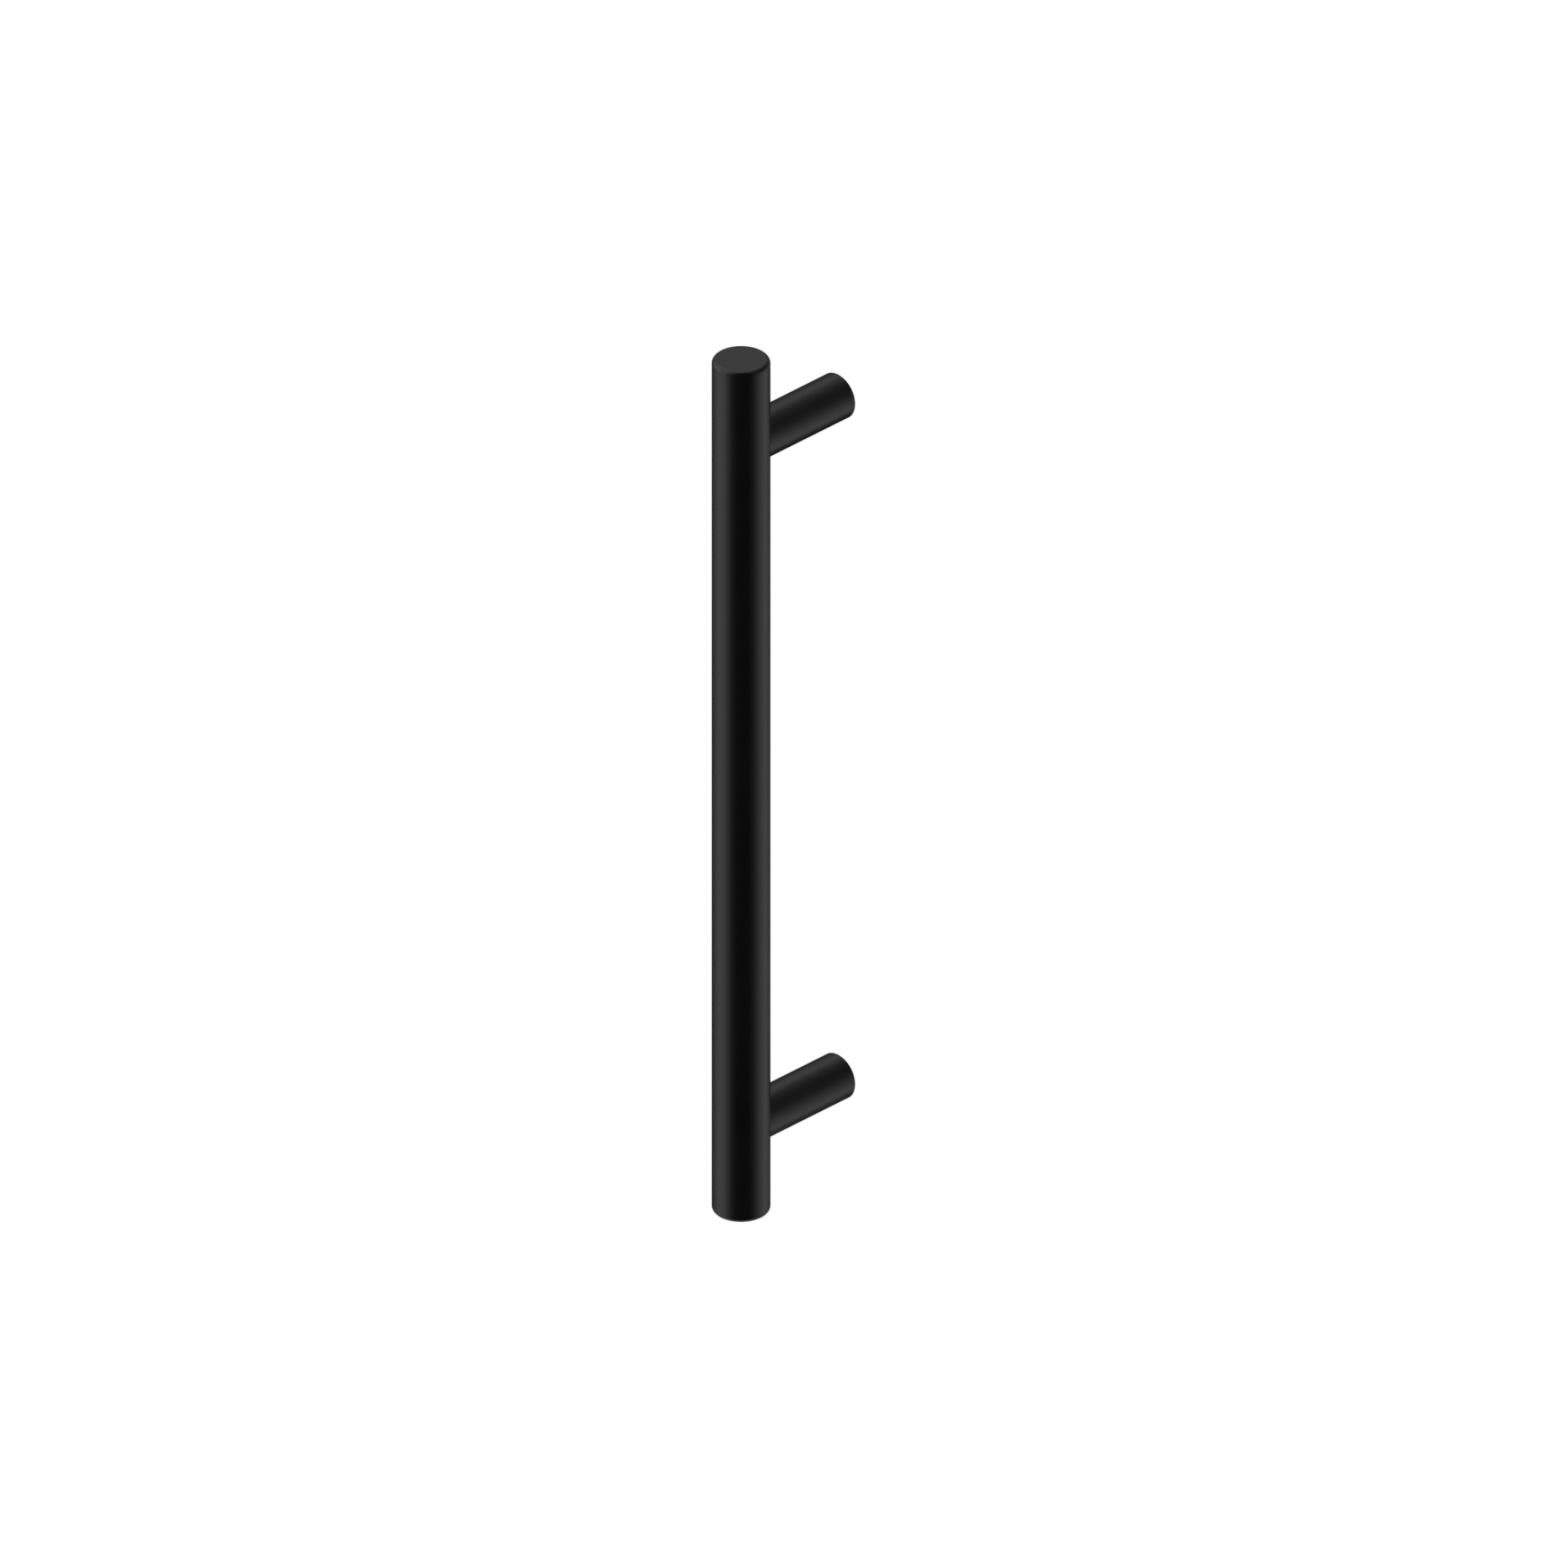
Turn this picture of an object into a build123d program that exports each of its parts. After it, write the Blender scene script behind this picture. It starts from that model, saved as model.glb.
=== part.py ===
from build123d import *
import os

os.makedirs("parts", exist_ok=True)

# Straight pull handle for a door: a round grip tube carried by two posts, each held to the door by a
# hidden spigot. Lengths are in millimetres, with +X to the right, +Y into the door and +Z up.
# The origin lies on the door face, midway between the two fixing holes.

# Overall sizes
post_spacing = 400.0
end_overhang = 50.0  # from a post's axis to the end of the grip
grip_diameter = 30.0
post_diameter = 25.0
reach = 70.0  # from the door face to the axis of the grip

# Clearances
fit_gap = 0.05  # between round faces that slide or press together
thread_gap = 0.1  # between a screw's core and its tapped hole
edge_break = 0.3

# Grip tube and its end caps
tube_wall = 1.5
end_round = 2.5
cap_rim = 0.5  # straight rim of the cap's head, between the tube and the rounded edge
cap_plug_length = 10.0
cap_plug_wall = 3.0
plug_lead_in = 0.8

# M6 joint screws and the slugs that they pull on
m6_tap_drill = 5.0
m6_clearance_hole = 6.4
slug_length = 26.0
screw_length = 30.0
screw_head_diameter = 10.0
screw_head_height = 6.0
screw_head_chamfer = 0.6
screw_tip_chamfer = 0.8
screw_key = 5.0
screw_key_depth = 3.0
post_web = 12.0  # solid stretch of the post between the grip and the screw's seat
head_clearance = 3.0  # round the screw's head, in the post's bore

# Door spigots, tapped M8 for the bolts that come through the door
m8_tap_drill = 6.8
m8_countersink = 0.4
spigot_length = 20.0
spigot_lead_in = 0.5
groove_inset = 10.0  # from the door face to the middle of the groove
groove_depth = 1.5

# M5 grub screws
m5_tap_drill = 4.2
grub_recess = 0.6
grub_tip_radius = 0.4
grub_key = 2.5
grub_key_depth = 2.5

# Sizes that follow
grip_radius = grip_diameter / 2
tube_bore_radius = grip_radius - tube_wall
plug_radius = tube_bore_radius - fit_gap
cap_head = end_round + cap_rim
grip_half_length = post_spacing / 2 + end_overhang
tube_half_length = grip_half_length - cap_head
post_radius = post_diameter / 2
post_bore_radius = screw_head_diameter / 2 + head_clearance
screw_seat = grip_radius + post_web  # from the axis of the grip
screw_core_radius = m6_tap_drill / 2 - thread_gap
spigot_radius = post_bore_radius - fit_gap
groove_radius = spigot_radius - groove_depth
grub_core_radius = m5_tap_drill / 2 - thread_gap
grub_inner_end = groove_radius + fit_gap + grub_tip_radius  # from the axis of the post
grub_length = post_radius - grub_recess - grub_inner_end

grip_axis = Axis((0, -reach, 0), (0, 0, 1))
post_heights = {"upper": post_spacing / 2, "lower": -post_spacing / 2}


def towards_door(height, distance):
    """Plane across a post, this far from the axis of the grip, facing the door."""
    return Plane(origin=(0, distance - reach, height), x_dir=(1, 0, 0), z_dir=(0, 1, 0))


# Grip tube, with a clearance hole for the joint screw behind each post
with BuildPart() as grip_tube:
    with BuildSketch(Plane((0, -reach, -tube_half_length))):
        Circle(grip_radius)
        Circle(tube_bore_radius, mode=Mode.SUBTRACT)
    extrude(amount=2 * tube_half_length)
    with Locations([towards_door(height, grip_radius) for height in post_heights.values()]):
        Hole(m6_clearance_hole / 2, depth=grip_radius)
grip_tube.part.label = "grip_tube"
export_step(grip_tube.part, "parts/grip_tube.step")

# End caps: a cup-shaped plug under a head as wide as the tube, with a rounded outer edge
with BuildPart() as end_caps:
    with BuildSketch(Plane.XZ.offset(reach)):
        with BuildLine():
            Polyline(
                (0, tube_half_length),
                (0, grip_half_length),
                (grip_radius, grip_half_length),
                (grip_radius, tube_half_length),
                (plug_radius, tube_half_length),
                (plug_radius, tube_half_length - cap_plug_length),
                (plug_radius - cap_plug_wall, tube_half_length - cap_plug_length),
                (plug_radius - cap_plug_wall, tube_half_length),
                close=True,
            )
        make_face()
    revolve(axis=grip_axis)
    fillet(end_caps.faces().sort_by(Axis.Z)[-1].edges(), end_round)
    plug_rim = end_caps.faces().sort_by(Axis.Z)[0].edges()
    chamfer(plug_rim.sort_by(SortBy.RADIUS)[-1], plug_lead_in)
    mirror(about=Plane.XY)
end_caps.part.label = "end_caps"
export_step(end_caps.part, "parts/end_caps.step")

# Slugs: a tapped block inside the tube behind each post, which the joint screw pulls against the wall
with BuildPart() as bar_slugs:
    with BuildSketch(Plane((0, -reach, post_spacing / 2))):
        Circle(plug_radius)
    extrude(amount=slug_length / 2, both=True)
    chamfer(bar_slugs.edges().filter_by(GeomType.CIRCLE), plug_lead_in)
    with Locations(towards_door(post_spacing / 2, plug_radius)):
        Hole(m6_tap_drill / 2)
    mirror(about=Plane.XY)
bar_slugs.part.label = "bar_slugs"
export_step(bar_slugs.part, "parts/bar_slugs.step")

# Door spigots: bolted to the door first, each with a groove for the point of its grub screw
with BuildPart() as door_spigots:
    with BuildSketch(Plane((0, -reach, post_spacing / 2))):
        with BuildLine():
            Polyline(
                (m8_tap_drill / 2, reach - spigot_length),
                (spigot_radius, reach - spigot_length),
                (spigot_radius, reach - groove_inset - groove_depth),
                (groove_radius, reach - groove_inset),
                (spigot_radius, reach - groove_inset + groove_depth),
                (spigot_radius, reach),
                (m8_tap_drill / 2, reach),
                close=True,
            )
        make_face()
    revolve(axis=Axis((0, -reach, post_spacing / 2), (0, 1, 0)))
    inner_rims = door_spigots.faces().sort_by(Axis.Y)[0].edges().sort_by(SortBy.RADIUS)
    door_rims = door_spigots.faces().sort_by(Axis.Y)[-1].edges().sort_by(SortBy.RADIUS)
    chamfer(inner_rims[-1], spigot_lead_in)
    chamfer(door_rims[0], m8_countersink)
    mirror(about=Plane.XY)
door_spigots.part.label = "door_spigots"
export_step(door_spigots.part, "parts/door_spigots.step")

for name, height in post_heights.items():
    post_axis = Axis((0, -reach, height), (0, 1, 0))
    turning_plane = Plane((0, -reach, height))
    seat_plane = towards_door(height, screw_seat)
    underside = Plane(origin=(0, -groove_inset, height), x_dir=(1, 0, 0), z_dir=(0, 0, -1))

    # Post: turned and bored from the door end, then cut to a saddle that sits on the grip
    with BuildPart() as post:
        with BuildSketch(turning_plane):
            with BuildLine():
                Polyline(
                    (m6_clearance_hole / 2, 0),
                    (post_radius, 0),
                    (post_radius, reach),
                    (post_bore_radius, reach),
                    (post_bore_radius, screw_seat),
                    (m6_clearance_hole / 2, screw_seat),
                    close=True,
                )
            make_face()
        revolve(axis=post_axis)
        with BuildSketch(turning_plane):
            Circle(grip_radius + fit_gap)
        extrude(amount=post_diameter, both=True, mode=Mode.SUBTRACT)
        door_edges = post.faces().sort_by(post_axis)[-1].edges()
        chamfer(door_edges.sort_by(SortBy.RADIUS)[-1], edge_break)
        with Locations(underside.offset(post_radius)):
            Hole(m5_tap_drill / 2, depth=post_radius)
    post.part.label = f"{name}_post"
    export_step(post.part, f"parts/{name}_post.step")

    # Joint screw: M6 socket head cap screw, driven through the open door end of the post
    with BuildPart() as joint_screw:
        with BuildSketch(seat_plane):
            Circle(screw_head_diameter / 2)
        extrude(amount=screw_head_height)
        chamfer(joint_screw.faces().sort_by(post_axis)[-1].edges(), screw_head_chamfer)
        with BuildSketch(seat_plane):
            Circle(screw_core_radius)
        extrude(amount=-screw_length)
        chamfer(joint_screw.faces().sort_by(post_axis)[0].edges(), screw_tip_chamfer)
        with BuildSketch(seat_plane.offset(screw_head_height)):
            RegularPolygon(screw_key / 2, 6, major_radius=False)
        extrude(amount=-screw_key_depth, mode=Mode.SUBTRACT)
    joint_screw.part.label = f"{name}_joint_screw"
    export_step(joint_screw.part, f"parts/{name}_joint_screw.step")

    # Grub screw: M5 with a cone point that sits in the groove of the spigot
    with BuildPart() as grub_screw:
        with BuildSketch(underside.offset(grub_inner_end)):
            Circle(grub_core_radius)
        extrude(amount=grub_length)
        point_edge = grub_screw.faces().sort_by(Axis.Z)[-1].edges()
        chamfer(point_edge, grub_core_radius - grub_tip_radius)
        with BuildSketch(underside.offset(grub_inner_end + grub_length)):
            RegularPolygon(grub_key / 2, 6, major_radius=False)
        extrude(amount=-grub_key_depth, mode=Mode.SUBTRACT)
    grub_screw.part.label = f"{name}_grub_screw"
    export_step(grub_screw.part, f"parts/{name}_grub_screw.step")
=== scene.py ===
"""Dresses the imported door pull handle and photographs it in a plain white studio.

The handle is a straight tube with a cap in each end, carried by two turned posts whose fixings are hidden.
Lengths are in metres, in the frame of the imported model: +X to the right, +Y into the door and +Z up.
"""
import logging
import math
from dataclasses import dataclass
from enum import Enum
from typing import Any, ClassVar, Union

import bmesh
import bpy
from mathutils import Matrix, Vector


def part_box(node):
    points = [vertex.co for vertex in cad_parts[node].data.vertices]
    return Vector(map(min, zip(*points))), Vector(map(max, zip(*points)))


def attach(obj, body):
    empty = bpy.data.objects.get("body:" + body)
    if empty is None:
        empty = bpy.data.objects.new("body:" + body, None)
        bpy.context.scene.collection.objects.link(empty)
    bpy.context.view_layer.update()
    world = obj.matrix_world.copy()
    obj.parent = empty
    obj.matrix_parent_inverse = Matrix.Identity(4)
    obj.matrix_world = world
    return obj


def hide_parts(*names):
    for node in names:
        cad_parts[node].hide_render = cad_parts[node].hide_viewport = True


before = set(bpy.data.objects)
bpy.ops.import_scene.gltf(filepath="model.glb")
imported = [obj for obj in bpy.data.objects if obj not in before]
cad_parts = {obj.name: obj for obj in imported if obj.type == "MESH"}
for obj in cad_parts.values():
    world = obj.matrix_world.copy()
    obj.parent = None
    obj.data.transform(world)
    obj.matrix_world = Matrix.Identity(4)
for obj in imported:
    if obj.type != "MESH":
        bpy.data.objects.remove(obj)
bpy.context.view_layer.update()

LOG = logging.getLogger("door_pull")

MM = 0.001
BODY = "root"
CREASE = math.radians(40)  # edges that turn by more than this stay sharp
MERGE_DISTANCE = 0.001 * MM
ZERO = (0.0, 0.0, 0.0)  # no shift, or no turn
TOWARDS_DOOR = (-math.pi / 2, 0.0, 0.0)  # turns +Z to +Y
UPSIDE_DOWN = (math.pi, 0.0, 0.0)
BLACK = (0.0, 0.0, 0.0, 1.0)
WHITE = (1.0, 1.0, 1.0, 1.0)

Point = tuple[float, float]  # distance from the axis, distance along it
Span = tuple[float, float]
Colour = tuple[float, float, float, float]
Operand = Union["Value", float]
Named = dict[str | int, Any] | None  # by name or number


class Side(Enum):
    """The two posts, by the sign of their height."""

    UPPER = 1
    LOWER = -1


class Slot(Enum):
    """The record's material slots."""

    BLACK_COAT = "black_coat"
    STAINLESS = "stainless"
    BLACK_OXIDE = "black_oxide"


class Lathe(Enum):
    """The axis that a steel piece was turned on."""

    GRIP = "grip"
    POST = "post"


class Value:
    """A node's output: an expression on it adds Math nodes to its graph."""

    def __init__(self, graph: "Graph", socket: bpy.types.NodeSocket) -> None:
        """Keep the graph and the socket."""
        self.graph = graph
        self.socket = socket

    def output(self, name: str) -> "Value":
        """Another output of the same node."""
        return Value(self.graph, pick(self.socket.node.outputs, name))

    def math(self, operation: str, first: Operand, second: Operand = 0.0) -> "Value":
        """A Math node's result on one value or two."""
        return self.graph.add("ShaderNodeMath", {"operation": operation}, {0: first, 1: second})

    def __add__(self, other: Operand) -> "Value":
        """This plus another."""
        return self.math("ADD", self, other)

    def __radd__(self, other: float) -> "Value":
        """A number plus this."""
        return self.math("ADD", other, self)

    def __sub__(self, other: Operand) -> "Value":
        """This less another."""
        return self.math("SUBTRACT", self, other)

    def __rsub__(self, other: float) -> "Value":
        """A number less this."""
        return self.math("SUBTRACT", other, self)

    def __mul__(self, other: Operand) -> "Value":
        """This times another."""
        return self.math("MULTIPLY", self, other)

    def __rmul__(self, other: float) -> "Value":
        """A number times this."""
        return self.math("MULTIPLY", other, self)

    def __truediv__(self, other: Operand) -> "Value":
        """This over another."""
        return self.math("DIVIDE", self, other)

    def __rtruediv__(self, other: float) -> "Value":
        """A number over this."""
        return self.math("DIVIDE", other, self)

    def __mod__(self, other: Operand) -> "Value":
        """What is left of this, over another, from 0 upwards."""
        return self.math("FLOORED_MODULO", self, other)

    def __lt__(self, other: Operand) -> "Value":
        """1 where this is less than another, and 0 elsewhere."""
        return self.math("LESS_THAN", self, other)

    def __abs__(self) -> "Value":
        """This without its sign."""
        return self.math("ABSOLUTE", self)

    def __floor__(self) -> "Value":
        """The whole number below this."""
        return self.math("FLOOR", self)

    def root(self) -> "Value":
        """The square root."""
        return self.math("SQRT", self)

    def sine(self) -> "Value":
        """The sine of this angle."""
        return self.math("SINE", self)

    def cosine(self) -> "Value":
        """The cosine of this angle."""
        return self.math("COSINE", self)

    def at_least(self, other: Operand) -> "Value":
        """The larger of this and another."""
        return self.math("MAXIMUM", self, other)

    def at_most(self, other: Operand) -> "Value":
        """The smaller of this and another."""
        return self.math("MINIMUM", self, other)

    def about(self, middle: float, spread: float) -> "Value":
        """This noise, which goes from 0 to 1, spread to both sides of a middle."""
        return middle + (self - 0.5) * spread


class Graph:
    """A node tree that is written as Python expressions."""

    def __init__(self, tree: bpy.types.NodeTree) -> None:
        """Keep the tree."""
        self.tree = tree

    def node(self, kind: str, settings: Named = None, sockets: Named = None) -> bpy.types.Node:
        """Add a node.

        Args:
            kind: The node's type.
            settings: Properties of the node, which are set first.
            sockets: Values or links for its inputs.

        Returns:
            The node.
        """
        node = self.tree.nodes.new(kind)
        for name, setting in (settings or {}).items():
            setattr(node, name, setting)
        for name, value in (sockets or {}).items():
            socket = pick(node.inputs, name)
            if isinstance(value, Value):
                self.tree.links.new(value.socket, socket)
            else:
                socket.default_value = value
        return node

    def add(self, kind: str, settings: Named = None, sockets: Named = None, output: str | int = 0) -> Value:
        """Add a node and take its output of this name or number."""
        return Value(self, pick(self.node(kind, settings, sockets).outputs, output))

    def split(self, vector: Value) -> tuple[Value, Value, Value]:
        """The X, Y and Z of a vector."""
        parts = self.add("ShaderNodeSeparateXYZ", sockets={"Vector": vector})
        return parts, parts.output("Y"), parts.output("Z")

    def join(self, x: Operand, y: Operand, z: Operand) -> Value:
        """The vector with this X, Y and Z."""
        return self.add("ShaderNodeCombineXYZ", sockets={"X": x, "Y": y, "Z": z})

    def nearness(self, direction: Value, axis: Vector) -> Value:
        """The cosine of the angle between a direction and an axis."""
        sockets = {0: direction, 1: axis}
        return self.add("ShaderNodeVectorMath", {"operation": "DOT_PRODUCT"}, sockets, "Value")

    def fade(self, value: Value, span: Span, levels: Span) -> Value:
        """The level that goes smoothly from the first to the second as a value crosses a span."""
        sockets = {"Value": value, **dict(zip(("From Min", "From Max", "To Min", "To Max"), span + levels))}
        return self.add("ShaderNodeMapRange", {"interpolation_type": "SMOOTHSTEP"}, sockets)


def pick(sockets: bpy.types.bpy_prop_collection, name: str | int) -> bpy.types.NodeSocket:
    """Find a socket.

    Args:
        sockets: A node's inputs or outputs.
        name: The socket's name or number.

    Returns:
        The socket of that number, or the first of that name that the node's settings leave in use.
    """
    if isinstance(name, int):
        return sockets[name]
    return next(s for s in sockets if s.name == name and not s.is_unavailable)


class GeometryTree(Graph):
    """A Geometry Nodes tree with named inputs, which spins a profile and ends in one plain mesh."""

    def __init__(self, name: str) -> None:
        """Start a tree that takes a profile, a number of segments and a material.

        Args:
            name: The tree's name.
        """
        super().__init__(bpy.data.node_groups.new(name, "GeometryNodeTree"))
        self.tree.is_modifier = True
        self.entry = self.node("NodeGroupInput")
        self.profile = self.input("Profile", "NodeSocketGeometry")
        self.segments = self.count("Segments")
        self.material = self.input("Material", "NodeSocketMaterial")

    def input(self, name: str, kind: str = "NodeSocketFloat") -> Value:
        """Use an input of the tree.

        Args:
            name: Its name.
            kind: The type of its socket, for the first use, which adds it.

        Returns:
            The input's value.
        """
        if name not in self.entry.outputs:
            self.tree.interface.new_socket(name, in_out="INPUT", socket_type=kind)
        return Value(self, self.entry.outputs[name])

    def count(self, name: str) -> Value:
        """Use an input of the tree that is a whole number."""
        return self.input(name, "NodeSocketInt")

    def position(self) -> Value:
        """The place of the point at hand."""
        return self.add("GeometryNodeInputPosition")

    def placed(self, mesh: Value, place: Value) -> Value:
        """A mesh with each point moved to a new place."""
        return self.add("GeometryNodeSetPosition", sockets={"Geometry": mesh, "Position": place})

    def moved(self, mesh: Value, place: Any, rotation: Any = ZERO) -> Value:
        """A mesh turned about the origin and then shifted to a place."""
        sockets = {"Geometry": mesh, "Translation": place, "Rotation": rotation}
        return self.add("GeometryNodeTransform", sockets=sockets)

    def real(self, copies: Value) -> Value:
        """A mesh of its own from copies of another."""
        return self.add("GeometryNodeRealizeInstances", sockets={"Geometry": copies})

    def cylinder(self, sides: Value | int, radius: Value, length: Value, rows: Value | int = 1) -> Value:
        """A cylinder along Z about the origin, with its length in this many rows."""
        sockets = {"Vertices": sides, "Side Segments": rows, "Radius": radius, "Depth": length}
        return self.add("GeometryNodeMeshCylinder", sockets=sockets)

    def spun(self) -> Value:
        """Spin the closed profile about Z, where its X is the radius and its Y the height.

        Returns:
            The closed mesh, with its seam and its poles merged.
        """
        points = self.add("GeometryNodeAttributeDomainSize", sockets={"Geometry": self.profile})
        columns = self.segments + 1
        index = self.add("GeometryNodeInputIndex")
        row = math.floor(index / columns)
        turn = (index - row * columns) * (math.tau / self.segments)
        sample = {"Geometry": self.profile, "Value": self.position(), "Index": row % points}
        corner = self.add("GeometryNodeSampleIndex", {"data_type": "FLOAT_VECTOR"}, sample)
        radius, height, _ = self.split(corner)
        grid = {"Vertices X": points + 1, "Vertices Y": columns}
        sheet = self.add("GeometryNodeMeshGrid", sockets=grid)
        rolled = self.placed(sheet, self.join(radius * turn.cosine(), radius * turn.sine(), height))
        sockets = {"Geometry": rolled, "Distance": MERGE_DISTANCE}
        return self.add("GeometryNodeMergeByDistance", sockets=sockets)

    def drilled(self, mesh: Value, cutter: Value) -> Value:
        """A mesh less what a cutter, or copies of one, takes out of it."""
        sockets = {"Mesh 1": mesh, "Mesh 2": self.real(cutter)}
        return self.add("GeometryNodeMeshBoolean", {"operation": "DIFFERENCE", "solver": "EXACT"}, sockets)

    def pair(self, mesh: Value, into_door: Value, height: Operand, rotation: Any = ZERO) -> Value:
        """Set two copies of a mesh, the first as far below the origin as the second is above it.

        Args:
            mesh: The mesh.
            into_door: The place of the copies along Y.
            height: The height of the second.
            rotation: How they are turned.

        Returns:
            The copies, as instances.
        """
        start, step = self.join(0.0, into_door, -1 * height), self.join(0.0, 0.0, 2 * height)
        line = {"Count": 2, "Start Location": start, "Offset": step}
        points = self.add("GeometryNodeMeshLine", sockets=line)
        copies = {"Points": points, "Instance": mesh, "Rotation": rotation}
        return self.add("GeometryNodeInstanceOnPoints", sockets=copies)

    def polar(self) -> tuple[Value, Value, Value]:
        """A point's distance from Z, its angle about Z in turns, and its height."""
        x, y, height = self.split(self.position())
        return (x * x + y * y).root(), x.math("ARCTAN2", y, x) / math.tau, height

    def widened(self, mesh: Value, factor: Value) -> Value:
        """A mesh with each point moved from Z by a factor of its distance."""
        x, y, height = self.split(self.position())
        return self.placed(mesh, self.join(x * factor, y * factor, height))

    def threaded(self, mesh: Value) -> Value:
        """Shape a screw thread about Z by the rule of the helix, from the inputs that Thread names.

        Args:
            mesh: A mesh with close rings of points on the thread's core.

        Returns:
            The mesh with those points moved in waves, which fade over the last turn at both ends.
        """
        core, pitch = self.input("Thread Core"), self.input("Thread Pitch")
        radius, turn, along = self.polar()
        wave = 0.5 - 0.5 * ((along / pitch - turn) * math.tau).cosine()
        from_start, to_end = along - self.input("Thread Start"), self.input("Thread End") - along
        fading = (from_start.at_most(to_end) / pitch).at_least(0.0).at_most(1.0)
        on_core = abs(radius - core) < MERGE_DISTANCE
        height = on_core * wave * fading * self.input("Thread Depth")
        return self.widened(mesh, 1 + height / core)

    def keyed(self, mesh: Value) -> Value:
        """A mesh with a hexagon socket cut into it along Z, from the inputs that HexSocket names."""
        hexagon = self.cylinder(6, self.input("Socket Radius"), 2 * self.input("Socket Depth"))
        return self.drilled(mesh, self.moved(hexagon, self.join(0.0, 0.0, self.input("Socket Mouth"))))

    def finish(self, mesh: Value) -> "GeometryTree":
        """Make a mesh the tree's result, with nothing left as an instance and its material set.

        Args:
            mesh: The mesh or its copies.

        Returns:
            The tree.
        """
        sockets = {"Geometry": self.real(mesh), "Material": self.material}
        dressed = self.add("GeometryNodeSetMaterial", sockets=sockets)
        self.tree.interface.new_socket("Mesh", in_out="OUTPUT", socket_type="NodeSocketGeometry")
        self.node("NodeGroupOutput", sockets={"Mesh": dressed})
        return self

    def make(self, name: str, profile: list[Point], values: dict[str, Any]) -> bpy.types.Object:
        """Run the tree on a profile and keep its result as a plain mesh.

        Args:
            name: The name of the new piece.
            profile: The closed outline to spin.
            values: Sizes by name, of which the tree takes those that it has inputs for.

        Returns:
            The piece, at the origin, with its faces outwards and its hard edges sharp.
        """
        outline = bpy.data.meshes.new(f"{name}_profile")
        outline.from_pydata([(radius, height, 0.0) for radius, height in profile], [], [])
        piece = bpy.data.objects.new(name, outline)
        bpy.context.scene.collection.objects.link(piece)
        modifier = piece.modifiers.new(self.tree.name, "NODES")
        modifier.node_group = self.tree
        for item in self.tree.interface.items_tree:
            if item.name in values:
                modifier[item.identifier] = values[item.name]
        graph = bpy.context.evaluated_depsgraph_get()
        mesh = bpy.data.meshes.new_from_object(piece.evaluated_get(graph), depsgraph=graph)
        mesh.name = name
        piece.modifiers.clear()
        piece.data = mesh
        bpy.data.meshes.remove(outline)
        shell = bmesh.new()
        shell.from_mesh(mesh)
        bmesh.ops.delete(shell, geom=[edge for edge in shell.edges if edge.is_wire], context="EDGES")
        bmesh.ops.recalc_face_normals(shell, faces=shell.faces)
        shell.to_mesh(mesh)
        shell.free()
        mesh.shade_smooth()
        mesh.set_sharp_from_angle(angle=CREASE)
        return piece


class Surface(Graph):
    """A material's nodes, which read Object coordinates and end in one Principled shader."""

    def __init__(self, name: str) -> None:
        """Start an empty material.

        Args:
            name: The material's name.
        """
        self.material = bpy.data.materials.new(name)
        self.material.use_nodes = True
        super().__init__(self.material.node_tree)
        self.tree.nodes.clear()
        self.place = self.add("ShaderNodeTexCoord", output="Object")

    def noise(self, size: float, detail: float, section: Value | None = None) -> Value:
        """Cloudy noise from 0 to 1, with patches of about this size, in space or over a flat section."""
        sockets = {"Vector": section or self.place, "Scale": 1 / size, "Detail": detail}
        return self.add("ShaderNodeTexNoise", {"noise_dimensions": "2D" if section else "3D"}, sockets)

    def blend(self, share: Value, first: Colour, second: Colour) -> Value:
        """A colour between two others."""
        sockets = {"Factor": share, "A": first, "B": second}
        return self.add("ShaderNodeMix", {"data_type": "RGBA"}, sockets, "Result")

    def relief(self, height: Value, depth: float) -> Value:
        """The normal of a surface with this relief, this deep where the height goes from 0 to 1."""
        return self.add("ShaderNodeBump", sockets={"Height": height, "Distance": depth})

    def finish(self, **sockets: Any) -> bpy.types.Material:
        """End the nodes in a Principled shader.

        Args:
            sockets: Its inputs by name, with _ for a space.

        Returns:
            The material.
        """
        named = {name.replace("_", " "): value for name, value in sockets.items()}
        shader = self.add("ShaderNodeBsdfPrincipled", sockets=named)
        self.node("ShaderNodeOutputMaterial", sockets={"Surface": shader})
        return self.material


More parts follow.
